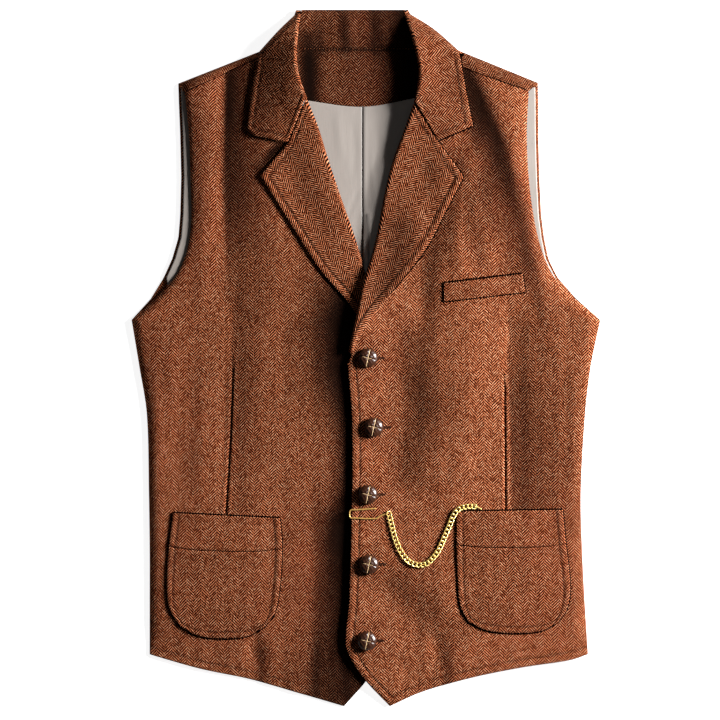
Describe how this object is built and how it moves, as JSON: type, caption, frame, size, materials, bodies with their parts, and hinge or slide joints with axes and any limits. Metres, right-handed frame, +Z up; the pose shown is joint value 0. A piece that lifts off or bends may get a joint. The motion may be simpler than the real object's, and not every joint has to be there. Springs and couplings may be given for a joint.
{
  "type": "suit waistcoat",
  "caption": "Single-breasted tweed suit waistcoat with notched lapels, patch pockets, a chest welt and a watch chain, laid flat on its back.",
  "frame": {"origin": "on the table, under the middle of the garment's outline", "axes": "+X to the right of the front view, +Y up the garment to the collar, +Z up from the table, out of the front"},
  "size_m": [0.492, 0.731, 0.0236],
  "materials": {
    "tweed": "rust herringbone wool tweed, soft nap",
    "lining": "light grey satin-weave lining, low sheen",
    "button_leather": "dark brown woven leather, polished",
    "chain_gold": "pale gold plate, polished"
  },
  "bodies": {
    "root": {"back_left": "tweed", "back_right": "tweed", "front_left": "tweed", "front_right": "tweed", "lapel_left": "tweed", "lapel_right": "tweed", "collar_back": "tweed", "collar_left": "tweed", "collar_right": "tweed", "neck_facing": "tweed", "chest_welt": "tweed", "pocket_left": "tweed", "pocket_right": "tweed", "pocket_band_left": "tweed", "pocket_band_right": "tweed", "lining_left": "lining", "lining_right": "lining", "button_1": "button_leather", "button_2": "button_leather", "button_3": "button_leather", "button_4": "button_leather", "button_5": "button_leather", "chain": "chain_gold", "chain_hook": "chain_gold", "chain_end": "chain_gold"}
  },
  "joints": []
}
